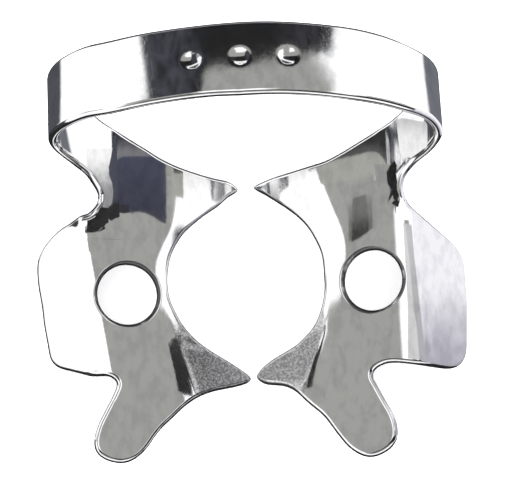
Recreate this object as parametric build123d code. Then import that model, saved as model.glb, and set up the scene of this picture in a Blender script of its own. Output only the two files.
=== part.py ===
from build123d import *
import os
import numpy as np
from math import radians, cos, sin, tan

# Winged molar clamp for a dental dam, formed from one piece of spring steel sheet.
# Millimetres.  X across the jaws (+X right), +Y towards the bow (distal), +Z up.
# The clamp stands on the four prong tips (z = 0).
# While it is being drawn, x = 0 is the middle of the tooth opening and y = 0 the
# row of the two forceps holes; at the end everything is moved so that the origin
# is the middle of the bounding box at the height of the prong tips.

# ---------------------------------------------------------------- driving dimensions
T = 0.55              # sheet thickness
HOLE_D = 3.50         # forceps holes
HOLE_X = 7.13         # holes out from the middle
HOLE_Y = -0.05
BOW_CORNER_R = 0.20   # tumbled corners of the bow's strip
BOW_LEAN = 17.0       # degrees, the bow leans away from the jaws
BOW_FOOT_Y = 7.35     # line that the strip's width is measured from, at the bow's foot
DIMPLE_D = 1.15       # three plain round marks pressed in the middle of the bow
DIMPLE_DEPTH = 0.10
DIMPLE_X = (-2.55, 0.10, 2.75)

JAW = {
    # tilt: the plate rises outwards by this angle, through the point (x0, z0) of its middle
    # surface; ridge: where the lateral wing bends down (slant: its run out per unit y), and
    # the wing's slope; crease: the front prong bends down here by front_bend; rear_x,
    # rear_r: the rear prong curves down from here on this radius
    "left": dict(sign=-1.0, tilt=13.0, x0=4.83, z0=2.25, ridge=8.95, ridge_slant=0.135, wing=30.0,
                 crease=((3.62, -5.70), (4.75, -0.60)), front_bend=12.9, rear_x=4.75, rear_r=12.2,
                 rear_bend=28.0,
                 # the neck leaves the plate across this line: notch side, distal side
                 root=((8.24, 5.34), (4.90, 8.02)), notch_gap=(8.62, 5.60),
                 strip_at=(5.6, 6.4, 7.2, 8.0, 8.8, 9.6, 10.4, 11.3, 12.4, 13.6, 15.2, 17.0, 18.9, 20.72),
                 buried=((7.45, 4.60), (4.30, 7.10)),
                 # neck: points of its near and far edge, and how far the near one has risen
                 # from the plate to the bow's curve
                 neck=(((8.30, 5.45), 0.02, (5.02, 8.09)), ((8.37, 5.80), 0.25, (5.92, 8.71)),
                       ((8.63, 6.22), 0.60, (7.00, 9.41)), ((8.98, 6.64), 0.88, (8.08, 10.10)),
                       ((9.42, 6.99), 1.00, (9.12, 10.76)))),
    "right": dict(sign=1.0, tilt=20.0, x0=4.36, z0=2.60, ridge=9.45, ridge_slant=0.0, wing=45.0,
                  crease=((2.90, -5.90), (4.30, -0.50)), front_bend=12.0, rear_x=4.32, rear_r=11.6,
                  rear_bend=30.0,
                  root=((9.00, 5.08), (5.60, 7.58)), notch_gap=(9.35, 5.20),
                  strip_at=(6.0, 6.7, 7.4, 8.1, 8.9, 9.7, 10.5, 11.4, 12.5, 13.7, 15.3, 17.1, 19.1, 20.96),
                  buried=((8.10, 4.40), (5.00, 6.75)),
                  neck=(((9.05, 5.22), 0.02, (5.72, 7.64)), ((9.09, 5.54), 0.25, (6.62, 8.08)),
                        ((9.30, 5.89), 0.55, (7.62, 8.57)), ((9.62, 6.18), 0.82, (8.62, 9.08)),
                        ((10.00, 6.45), 1.00, (9.60, 9.60)))),
}
BEND_R = 0.80         # inner plus half thickness: radius of the wing and prong bends
SPLIT_Y = 0.80        # front of this the jaw's inner edge belongs to the front prong

# middle surface of the neck and bow, seen from the front: distance out, height
BOW = {
    "left": [(5.6, 2.43), (6.4, 2.63), (7.15, 2.93), (7.85, 3.40), (8.45, 3.98), (9.05, 4.65),
             (9.65, 5.35), (10.15, 6.08), (10.55, 6.85), (10.76, 7.7), (10.6, 8.65), (10.1, 9.55),
             (9.2, 10.35), (7.6, 11.25), (5.4, 12.1), (2.8, 12.72), (0.0, 12.95)],
    "right": [(5.6, 3.05), (6.4, 3.35), (7.15, 3.67), (7.9, 4.05), (8.6, 4.49), (9.3, 5.01),
              (9.95, 5.57), (10.5, 6.20), (10.92, 6.92), (11.12, 7.72), (10.95, 8.65), (10.42, 9.55),
              (9.5, 10.35), (7.85, 11.25), (5.57, 12.1), (2.89, 12.72), (0.0, 12.95)],
}
# edges of the strip, measured along its width from the foot line:
# (length along the middle surface, edge nearer the jaws, edge away from them)
STRIP = {
    "left": {
        "near": [(3.2, -1.70), (4.0, -0.93), (4.78, -0.62), (5.57, -0.43), (6.37, -0.34), (7.17, -0.31),
                 (8.2, -0.33), (9.3, -0.38), (10.35, -0.42), (11.15, -0.42), (11.95, -0.48),
                 (12.74, -0.59), (13.54, -0.65), (15.0, -0.68), (17.0, -0.71), (19.0, -0.74), (20.71, -0.80)],
        "far": [(3.0, 2.72), (4.0, 3.10), (5.0, 3.42), (6.0, 3.66), (7.2, 3.88), (8.5, 4.01), (9.56, 4.05),
                (10.35, 4.08), (11.2, 4.12), (12.0, 4.12), (12.8, 4.04), (13.6, 3.98), (15.0, 3.94),
                (17.0, 3.87), (19.0, 3.85), (20.71, 3.87)],
    },
    "right": {
        "near": [(3.4, -2.45), (4.1, -1.85), (4.84, -1.42), (5.64, -1.26), (6.45, -1.15), (7.26, -1.07),
                 (8.2, -1.00), (9.3, -0.94), (10.48, -0.94), (11.3, -0.93), (12.1, -0.88), (13.0, -0.84),
                 (14.5, -0.82), (16.0, -0.79), (17.7, -0.76), (19.3, -0.77), (20.96, -0.80)],
        "far": [(3.2, 1.50), (4.03, 1.80), (5.0, 2.20), (6.0, 2.58), (7.0, 2.90), (8.06, 3.10), (8.87, 3.19),
                (9.68, 3.24), (10.48, 3.33), (11.29, 3.46), (12.09, 3.60), (12.9, 3.70), (13.7, 3.77),
                (15.3, 3.82), (17.0, 3.85), (19.0, 3.88), (20.96, 3.87)],
    },
}

# outline of each jaw seen from above, as distance out from the middle and y:
# distal edge from the neck to the rear prong tip, the edge of the tooth opening from
# the rear tip to the front tip, then the front wing, the lateral wing and the notch
OUTLINE = {
    "left": {
        "distal": [
            (9.400, 10.930), (8.764, 10.535), (8.131, 10.135), (7.500, 9.731), (6.867, 9.332),
            (6.243, 8.919), (5.614, 8.512), (5.000, 8.084), (4.347, 7.718), (3.663, 7.415), (2.953, 7.178),
            (2.231, 6.980), (1.495, 6.842), (0.876, 6.687), (0.486, 6.271)],
        "opening": [
            (0.486, 6.271), (1.031, 5.809), (1.550, 5.317), (2.122, 4.887), (2.698, 4.461), (3.245, 4.000),
            (3.759, 3.503), (4.167, 2.916), (4.496, 2.282), (4.692, 1.594), (4.789, 0.885), (4.778, 0.170),
            (4.651, -0.533), (4.388, -1.198), (4.057, -1.832), (3.622, -2.399), (3.103, -2.891),
            (2.531, -3.321), (1.928, -3.707), (1.322, -4.087), (0.732, -4.491), (0.250, -5.018)],
        "outside": [
            (0.250, -5.018), (0.887, -5.393), (1.610, -5.564), (2.333, -5.730), (3.035, -5.973),
            (3.688, -6.325), (4.279, -6.775), (4.827, -7.276), (5.383, -7.769), (5.877, -8.321),
            (6.315, -8.921), (6.838, -9.447), (7.469, -9.806), (8.173, -9.844), (8.863, -9.597),
            (9.250, -9.239), (9.388, -8.807), (9.297, -8.118), (9.032, -7.425), (8.667, -6.778),
            (8.305, -6.129), (7.944, -5.509), (7.845, -5.219), (7.899, -5.020), (8.100, -4.872),
            (8.647, -4.710), (9.383, -4.610), (10.097, -4.408), (10.794, -4.152), (11.425, -3.841),
            (11.731, -3.450), (11.872, -2.760), (11.975, -2.024), (12.072, -1.287), (12.121, -0.546),
            (12.204, 0.191), (12.296, 0.928), (12.330, 1.670), (12.254, 2.408), (11.940, 3.019),
            (11.441, 3.569), (10.850, 4.013), (10.172, 4.314), (9.514, 4.545), (9.145, 4.566),
            (8.818, 4.785), (8.415, 5.299), (8.311, 5.589), (8.449, 5.909), (8.850, 6.517), (9.420, 6.990)],
    },
    "right": {
        "distal": [
            (9.800, 9.720), (9.198, 9.349), (8.556, 9.054), (7.929, 8.726), (7.297, 8.407), (6.663, 8.095),
            (6.030, 7.779), (5.384, 7.491), (4.723, 7.240), (4.030, 7.106), (3.331, 6.995), (2.632, 6.888),
            (1.931, 6.799), (1.237, 6.666), (0.583, 6.401)],
        "opening": [
            (0.583, 6.401), (1.099, 5.876), (1.664, 5.407), (2.225, 4.930), (2.768, 4.433), (3.263, 3.890),
            (3.676, 3.283), (3.988, 2.617), (4.237, 1.927), (4.329, 1.198), (4.341, 0.462),
            (4.324, -0.273), (4.199, -0.997), (3.974, -1.698), (3.624, -2.342), (3.117, -2.874),
            (2.537, -3.323), (1.873, -3.640), (1.208, -3.955), (0.592, -4.352), (0.163, -4.943)],
        "outside": [
            (0.163, -4.943), (0.539, -5.348), (1.172, -5.521), (1.876, -5.732), (2.448, -6.161),
            (2.938, -6.710), (3.465, -7.224), (3.969, -7.762), (4.367, -8.380), (4.771, -8.996),
            (5.217, -9.582), (5.789, -10.043), (6.393, -10.258), (7.046, -10.147), (7.662, -9.776),
            (7.971, -9.332), (8.035, -8.681), (7.874, -7.965), (7.558, -7.300), (7.237, -6.637),
            (6.923, -5.970), (6.786, -5.561), (6.855, -5.331), (7.087, -5.133), (7.595, -4.946),
            (8.326, -4.971), (9.052, -5.098), (9.782, -5.199), (10.516, -5.265), (11.251, -5.275),
            (11.731, -5.106), (12.098, -4.703), (12.298, -4.040), (12.358, -3.306), (12.405, -2.570),
            (12.451, -1.835), (12.490, -1.099), (12.479, -0.362), (12.464, 0.375), (12.421, 1.110),
            (12.143, 1.786), (11.636, 2.317), (11.059, 2.776), (10.483, 3.236), (9.912, 3.701),
            (9.387, 4.216), (9.085, 4.884), (9.056, 5.437), (9.278, 5.869), (9.830, 6.330)],
    },
}

# ---------------------------------------------------------------- helpers
def cubic(pts):
    """natural cubic through the points of a list (x, y)"""
    xs = np.array([p[0] for p in pts], float)
    ys = np.array([p[1] for p in pts], float)
    n = len(xs)
    h = np.diff(xs)
    a = np.zeros((n, n))
    r = np.zeros(n)
    a[0, 0] = a[-1, -1] = 1.0
    for i in range(1, n - 1):
        a[i, i - 1], a[i, i], a[i, i + 1] = h[i - 1], 2 * (h[i - 1] + h[i]), h[i]
        r[i] = 3 * ((ys[i + 1] - ys[i]) / h[i] - (ys[i] - ys[i - 1]) / h[i - 1])
    c = np.linalg.solve(a, r)
    b = np.diff(ys) / h - h * (2 * c[:-1] + c[1:]) / 3
    d = np.diff(c) / (3 * h)

    def f(x):
        x = np.asarray(x, float)
        i = np.clip(np.searchsorted(xs, x) - 1, 0, n - 2)
        t = x - xs[i]
        return ys[i] + t * (b[i] + t * (c[i] + t * d[i]))
    return f


def bow_curve(side):
    """x(s), z(s) and length of the half bow, symmetric about its top"""
    p = np.array(BOW[side], float)
    q = p[::-1][1:].copy()
    q[:, 0] *= -1
    full = np.vstack([p, q])
    s = np.concatenate([[0.0], np.cumsum(np.hypot(*np.diff(full, axis=0).T))])
    return (cubic(list(zip(s, full[:, 0]))), cubic(list(zip(s, full[:, 1]))), float(s[len(p) - 1]))


def smooth_step(t):
    t = np.clip(t, 0.0, 1.0)
    return t * t * t * (t * (6 * t - 15) + 10)


def plate_z(k, x):
    """height of the plate's middle surface at the distance x from the middle"""
    return k["z0"] + (x - k["x0"]) * tan(radians(k["tilt"]))


def bent_strip(origin, e1, e2, e3, a, b, length, bend, radius=None, back=1.5):
    """sheet that runs along e1, bends towards -e2 by 'bend' degrees at the origin and goes on;
    it is long along e3, both ways"""
    t = T / 2
    c, s = cos(radians(bend)), sin(radians(bend))
    if radius is None:
        r = BEND_R
        h = tan(radians(bend) / 2) * t
        top = FilletPolyline((a, t), (h, t), (b * c + t * s, -b * s + t * c), radius=r + t)
        bot = FilletPolyline((a, -t), (-h, -t), (b * c - t * s, -b * s - t * c), radius=r - t)
        tp, bp = (b * c + t * s, -b * s + t * c), (b * c - t * s, -b * s - t * c)
        edges = [*top.edges(), Line(tp, bp).edge(), *bot.edges(), Line((a, -t), (a, t)).edge()]
    else:
        # one long arc, tangent to the plate at the origin
        R = radius
        g = radians(bend)
        top = [(a, t), (0, t)]
        arc_t = ThreePointArc((0, t), ((R + t) * sin(g / 2), (R + t) * cos(g / 2) - R), ((R + t) * sin(g), (R + t) * cos(g) - R))
        arc_b = ThreePointArc((0, -t), ((R - t) * sin(g / 2), (R - t) * cos(g / 2) - R), ((R - t) * sin(g), (R - t) * cos(g) - R))
        edges = [Line((a, t), (0, t)).edge(), arc_t.edge(), Line(arc_t @ 1, arc_b @ 1).edge(), arc_b.edge(),
                 Line((0, -t), (a, -t)).edge(), Line((a, -t), (a, t)).edge()]
    face = Face(Wire(edges))
    plane = Plane(origin=Vector(*origin) - Vector(*e3) * length, x_dir=e1, z_dir=Vector(*e1).cross(Vector(*e2)))
    face = plane.from_local_coords(face)
    return Solid.extrude(face, Vector(*e3) * (2 * length))


def unit(*v):
    n = np.array(v, float)
    return tuple(n / np.linalg.norm(n))


def beyond(side, p, q, y_low, y_high, sg):
    """tall block on the inner side of the line p-q in plan, between two y"""
    (x1, y1), (x2, y2) = p, q
    m = (x2 - x1) / (y2 - y1)
    xa = x1 + m * (y_low - y1)
    xb = x1 + m * (y_high - y1)
    w = Wire([e.edge() for e in (Line((sg * xa, y_low), (sg * xb, y_high)), Line((sg * xb, y_high), (-sg * 6, y_high)),
                                 Line((-sg * 6, y_high), (-sg * 6, y_low)), Line((-sg * 6, y_low), (sg * xa, y_low)))])
    return Solid.extrude(Face(w), Vector(0, 0, 20)).moved(Location((0, 0, -5)))


def jaw(side):
    k = JAW[side]
    sg = k["sign"]
    ti = radians(k["tilt"])
    # outline seen from above, closed across the neck's root
    P = {name: [(sg * x, y) for x, y in pts] for name, pts in OUTLINE[side].items()}
    e1 = Spline(*P["distal"])
    e2 = Spline(*P["opening"])
    e3 = Spline(*P["outside"])
    e4 = Line(P["outside"][-1], P["distal"][0])
    plan = Face(Wire([e1.edge(), e2.edge(), e3.edge(), e4.edge()]))
    body = Solid.extrude(plan, Vector(0, 0, 14)).moved(Location((0, 0, -3)))
    # nothing past the neck's root: the neck starts there
    (mx, my), (dx, dy) = k["root"]
    gx, gy = k["notch_gap"]
    w = [(mx, my), (dx - 0.6 * (mx - dx), dy - 0.6 * (my - dy)), (dx, 30), (30, 30), (30, gy), (gx, gy)]
    w = [(sg * x, y) for x, y in w]
    past = Face(Wire([Line(w[i], w[(i + 1) % 6]).edge() for i in range(6)]))
    body = body - Solid.extrude(past, Vector(0, 0, 30)).moved(Location((0, 0, -5)))

    out = (sg * cos(ti), 0, sin(ti))              # outwards in the plate
    up = (-sg * sin(ti), 0, cos(ti))              # the plate's normal
    # plate and lateral wing
    rx = k["ridge"]
    along = unit(sg * k["ridge_slant"], 1, k["ridge_slant"] * tan(ti))
    e_out = np.cross(np.cross(along, out), along)
    e_out = unit(*(e_out if np.dot(e_out, out) > 0 else -e_out))
    wing = bent_strip((sg * rx, 0, plate_z(k, rx)), e_out, up, along, -14, 7, 14, k["tilt"] + k["wing"])
    # front prong
    (x1, y1), (x2, y2) = k["crease"]
    along = unit(sg * (x2 - x1), y2 - y1, (x2 - x1) * tan(ti))
    e_in = np.cross(up, along)
    e_in = unit(*(e_in if e_in[0] * sg < 0 else -e_in))
    front = bent_strip((sg * x1, y1, plate_z(k, x1)), e_in, up, along, -3, 8, 12, k["front_bend"])
    # rear prong
    e_in2 = tuple(-v for v in out)
    rear = bent_strip((sg * k["rear_x"], 0, plate_z(k, k["rear_x"])), e_in2, up, (0, 1, 0), -3, 0, 14, k["rear_bend"], radius=k["rear_r"])

    off = 0.45
    f_block = beyond(side, (x1 + off, y1), (x2 + off, y2), -14, SPLIT_Y, sg)
    r_block = beyond(side, (k["rear_x"] + 0.02, 0), (k["rear_x"] + 0.02, 1), SPLIT_Y, 14, sg)
    body_f = body & f_block
    body_r = body & r_block
    body_m = body - f_block - r_block
    one = (body_m & wing) + (body_f & front) + (body_r & rear)
    # forceps hole, square to the plate
    hole = Plane(origin=(sg * HOLE_X, HOLE_Y, plate_z(k, HOLE_X)), z_dir=up) * Cylinder(HOLE_D / 2, 4)
    return one - hole


# the strip of the bow: y of its foot line and the turn of its width with height
def strip_y(z):
    return BOW_FOOT_Y + tan(radians(BOW_LEAN)) * 0.5 * ((z - 4.6) + np.sqrt((z - 4.6) ** 2 + 1.44))


def strip_turn(z):
    return radians(BOW_LEAN) * smooth_step((z - 4.3) / 4.0)


def half_strip(side):
    """sections of half the strip, from its root in the jaw to the top:
    (near corner, far corner, thickness) of the middle surface"""
    k = JAW[side]
    sg = k["sign"]
    fx, fz, length = bow_curve(side)
    s = np.linspace(0, length, 900)
    x, z = fx(s), fz(s)
    n = int(np.argmax(x > 10.2))

    def rise(v):
        return float(np.interp(v, x[:n], z[:n]))
    out = []
    # the root lies inside the plate, thinner than it, so that only the neck shows
    (mx, my), (dx, dy) = k["buried"]
    (nx, ny), _, (ex, ey) = k["neck"][0]
    for f, t in ((0.0, T - 0.24), (0.45, T - 0.20), (0.8, T - 0.14)):
        m = (mx + f * (nx - mx), my + f * (ny - my))
        d = (dx + f * (ex - dx), dy + f * (ey - dy))
        out.append(((m[0], m[1], plate_z(k, m[0])), (d[0], d[1], plate_z(k, d[0])), t))
    (mx, my), share, (dx, dy) = k["neck"][0]
    for i, ((mx, my), share, (dx, dy)) in enumerate(k["neck"]):
        pm = plate_z(k, mx)
        zm = pm + (rise(mx) - pm) * share
        zd = plate_z(k, dx) if dx < 5.75 else rise(dx)
        out.append(((mx, my, zm), (dx, dy, zd), T - 0.06 if i == 0 else T - 0.01 if i == 1 else T))
    near, far = cubic(STRIP[side]["near"]), cubic(STRIP[side]["far"])
    for v in k["strip_at"]:
        xx, zz = float(fx(v)), float(fz(v))
        a = strip_turn(zz)
        y0 = strip_y(zz)
        m, d = float(near(v)), float(far(v))
        out.append(((xx, y0 + m * cos(a), zz - m * sin(a)), (xx, y0 + d * cos(a), zz - d * sin(a)), T))
    return [((sg * m[0], m[1], m[2]), (sg * d[0], d[1], d[2]), t) for m, d, t in out], length


def bow():
    left, _ = half_strip("left")
    right, _ = half_strip("right")
    rows = left + right[::-1][1:]
    mid = np.array([(np.array(m) + np.array(d)) / 2 for m, d, t in rows])
    wires = []
    for i, (m, d, t) in enumerate(rows):
        m, d = np.array(m), np.array(d)
        lo, hi = max(i - 1, 0), min(i + 1, len(rows) - 1)
        tangent = mid[hi] - mid[lo]
        across = d - m
        w = float(np.linalg.norm(across))
        across = across / w
        tangent = tangent - across * np.dot(tangent, across)
        plane = Plane(origin=Vector(*mid[i]), x_dir=Vector(*across), z_dir=Vector(*tangent))
        r = BOW_CORNER_R * t / T
        wires.append((plane * RectangleRounded(w, t, r)).wire())
    return Solid.make_loft(wires)


left, right, strip = jaw("left"), jaw("right"), bow()
clamp = left + strip + right

# three plain round marks pressed into the top of the bow
fx, fz, length = bow_curve("left")
r = (DIMPLE_D ** 2 / 4 + DIMPLE_DEPTH ** 2) / (2 * DIMPLE_DEPTH)
for x in DIMPLE_X:
    s = float(np.interp(abs(x), fx(np.linspace(length, length / 2, 400)), np.linspace(length, length / 2, 400)))
    z = float(fz(s))
    zz = (z - float(fz(s - 0.05))) / 0.05
    xx = (float(fx(s)) - float(fx(s - 0.05))) / 0.05
    a = radians(BOW_LEAN)
    m = (float(cubic(STRIP["left"]["near"])(length)) + float(cubic(STRIP["left"]["far"])(length))) / 2
    # outward normal of the strip at the mark
    n = np.array([zz * (1 if x > 0 else -1), 0, abs(xx)])
    n = np.array([n[0], n[2] * sin(a), n[2] * cos(a)])
    n /= np.linalg.norm(n)
    c = np.array([x, strip_y(z) + m * cos(a), z - m * sin(a)]) + n * (T / 2 + r - DIMPLE_DEPTH)
    clamp = clamp - Pos(*c) * Sphere(r)

box = clamp.bounding_box()
shift = Vector(-(box.min.X + box.max.X) / 2, -(box.min.Y + box.max.Y) / 2, -box.min.Z)
clamp = clamp.moved(Location(shift))
print("moved by", shift)
for side in ("left", "right"):
    k = JAW[side]
    c = Vector(k["sign"] * HOLE_X, HOLE_Y, plate_z(k, HOLE_X)) + shift
    print(side, "hole centre", c, "axis", (-k["sign"] * sin(radians(k["tilt"])), 0, cos(radians(k["tilt"]))))
body = clamp.solids()
print("solids", len(body), "volume", clamp.volume, "box", clamp.bounding_box())
os.makedirs("parts", exist_ok=True)
solid = body[0]
solid.label = "clamp"
export_step(solid, "parts/clamp.step")
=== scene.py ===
import bpy
import numpy as np
from math import radians, cos, sin, tan, pi
from mathutils import Matrix, Vector
from mathutils.geometry import delaunay_2d_cdt

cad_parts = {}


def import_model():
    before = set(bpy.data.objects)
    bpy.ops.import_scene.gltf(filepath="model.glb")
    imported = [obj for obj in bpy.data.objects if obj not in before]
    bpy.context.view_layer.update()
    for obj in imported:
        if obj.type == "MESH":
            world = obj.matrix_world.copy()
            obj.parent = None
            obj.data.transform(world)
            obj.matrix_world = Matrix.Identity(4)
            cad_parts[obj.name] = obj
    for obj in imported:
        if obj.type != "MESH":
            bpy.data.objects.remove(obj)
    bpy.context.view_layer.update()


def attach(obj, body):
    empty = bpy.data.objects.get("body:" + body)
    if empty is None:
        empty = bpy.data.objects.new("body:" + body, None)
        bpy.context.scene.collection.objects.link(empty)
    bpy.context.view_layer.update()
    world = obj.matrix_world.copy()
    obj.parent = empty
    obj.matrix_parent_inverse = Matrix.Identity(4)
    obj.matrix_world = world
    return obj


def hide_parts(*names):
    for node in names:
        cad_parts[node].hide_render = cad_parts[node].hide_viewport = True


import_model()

rng = np.random.default_rng(7)

# ------------------------------------------------------------------ frame
# Lengths in millimetres while the sheet is drawn.  x = 0 is the middle of the tooth
# opening and y = 0 the row of forceps holes, as in the CAD; SHIFT brings it to the frame.
SHIFT = np.array([-0.08068, -1.69404, 0.014552])
T = 0.55
EPS = 1e-9


def world(p):
    return (np.asarray(p, float) + SHIFT) * 0.001


# ------------------------------------------------------------------ camera
ELEV, ROLL, DIST = radians(80.0), radians(2.9), 200.0
LOOK = np.array([0.42, 2.75, 2.5])
back = np.array([0.0, -cos(ELEV), sin(ELEV)])
up0 = np.array([0.0, sin(ELEV), cos(ELEV)])
r0 = np.array([1.0, 0.0, 0.0])
cam_x = r0 * cos(ROLL) - up0 * sin(ROLL)
cam_y = r0 * sin(ROLL) + up0 * cos(ROLL)
cam_data = bpy.data.cameras.new("camera")
cam_data.sensor_width = 36.0
cam_data.lens = 17.2 * DIST / 510 * 36.0
cam_data.clip_start, cam_data.clip_end = 0.01, 10.0
camera = bpy.data.objects.new("camera", cam_data)
bpy.context.scene.collection.objects.link(camera)
m = Matrix.Identity(4)
for i in range(3):
    m[i][0], m[i][1], m[i][2] = cam_x[i], cam_y[i], back[i]
    m[i][3] = world(LOOK + back * DIST)[i]
camera.matrix_world = m
bpy.context.scene.camera = camera

# ------------------------------------------------------------------ the sheet's form
HOLE_D, HOLE_X, HOLE_Y = 3.50, 7.13, -0.05
RIM_R = 0.26
CROWN = 0.0115
MARK_X, MARK_D, MARK_DEPTH, MARK_Q = (-2.55, 0.10, 2.75), 1.15, 0.10, 1.535

JAW = {
    "left": dict(sign=-1.0, tilt=13.0, x0=4.83, z0=2.25, ridge=8.95, ridge_slant=0.135, ridge_w=0.09, wing=30.0,
                 crease_at=((5.10, 1.2), (5.06, 0.2), (4.88, -0.7), (4.62, -1.57), (4.33, -2.45), (4.13, -3.45),
                            (3.82, -4.28), (3.45, -5.50)),
                 crease_w=0.16, front_slope=0.235, rear_x=4.75, rear_k=0.0400, rise_y=3.3,
                 roll_at=((3.60, 8.0), (3.95, 6.0), (4.45, 3.9), (5.35, 2.15), (5.55, 0.2), (5.50, -2.0)),
                 roll_slope=0.10, facet_slope=0.075, tongue_flat=1.0, front_from=-1.9,
                 seam_x=8.31, split_v=5.70, far_from=3.0, near_from=3.35, distal_x=7.75),
    "right": dict(sign=1.0, tilt=20.0, x0=4.36, z0=2.60, ridge=9.35, ridge_slant=0.0, ridge_w=0.80, wing=45.0,
                  crease_at=((4.60, 1.2), (4.50, -0.35), (4.33, -2.08), (4.22, -2.96), (4.05, -3.4), (3.85, -3.91),
                             (3.57, -4.47), (3.15, -5.36), (2.60, -6.0)),
                  crease_w=0.16, front_slope=0.255, rear_x=4.32, rear_k=0.0540, rise_y=3.6,
                  roll_at=((4.00, 8.0), (4.40, 6.6), (4.90, 5.0), (5.72, 2.35), (5.60, 0.5), (5.20, -2.0)),
                  roll_slope=0.11, facet_slope=0.0, tongue_flat=0.0, front_from=-2.7,
                  seam_x=9.04, split_v=5.50, far_from=3.2, near_from=4.05, distal_x=8.0),
}

BOW = {
    "left": [(5.6, 2.43), (6.4, 2.62), (7.1, 2.80), (7.7, 3.07), (8.2, 3.52), (8.65, 4.10), (9.1, 4.71),
             (9.65, 5.36), (10.15, 6.08), (10.55, 6.85), (10.76, 7.7), (10.6, 8.65), (10.1, 9.55),
             (9.2, 10.35), (7.6, 11.25), (5.4, 12.1), (2.8, 12.72), (0.0, 12.95)],
    "right": [(5.6, 3.05), (6.4, 3.345), (7.2, 3.64), (7.9, 3.92), (8.5, 4.29), (9.2, 4.90), (9.9, 5.54),
              (10.5, 6.20), (10.92, 6.92), (11.12, 7.72), (10.95, 8.65), (10.42, 9.55), (9.5, 10.35),
              (7.85, 11.25), (5.57, 12.1), (2.89, 12.72), (0.0, 12.95)],
}

STRIP = {
    "left": {
        "near": [(3.2, -1.70), (4.0, -0.93), (4.78, -0.62), (5.57, -0.43), (6.37, -0.34), (7.17, -0.31),
                 (8.2, -0.33), (9.3, -0.38), (10.35, -0.42), (11.15, -0.42), (11.95, -0.48),
                 (12.74, -0.59), (13.54, -0.65), (15.0, -0.68), (17.0, -0.71), (19.0, -0.74), (20.71, -0.80)],
        "far": [(3.0, 2.72), (4.0, 3.10), (5.0, 3.42), (6.0, 3.66), (7.2, 3.88), (8.5, 4.01), (9.56, 4.05),
                (10.35, 4.08), (11.2, 4.12), (12.0, 4.12), (12.8, 4.04), (13.6, 3.98), (15.0, 3.94),
                (17.0, 3.87), (19.0, 3.85), (20.71, 3.87)],
    },
    "right": {
        "near": [(3.4, -2.45), (4.1, -1.85), (4.84, -1.42), (5.64, -1.26), (6.45, -1.15), (7.26, -1.07),
                 (8.2, -1.00), (9.3, -0.94), (10.48, -0.94), (11.3, -0.93), (12.1, -0.88), (13.0, -0.84),
                 (14.5, -0.82), (16.0, -0.79), (17.7, -0.76), (19.3, -0.77), (20.96, -0.80)],
        "far": [(3.2, 1.50), (4.03, 1.80), (5.0, 2.20), (6.0, 2.58), (7.0, 2.90), (8.06, 3.10), (8.87, 3.19),
                (9.68, 3.24), (10.48, 3.33), (11.29, 3.46), (12.09, 3.60), (12.9, 3.70), (13.7, 3.77),
                (15.3, 3.82), (17.0, 3.85), (19.0, 3.88), (20.96, 3.87)],
    },
}
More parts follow.
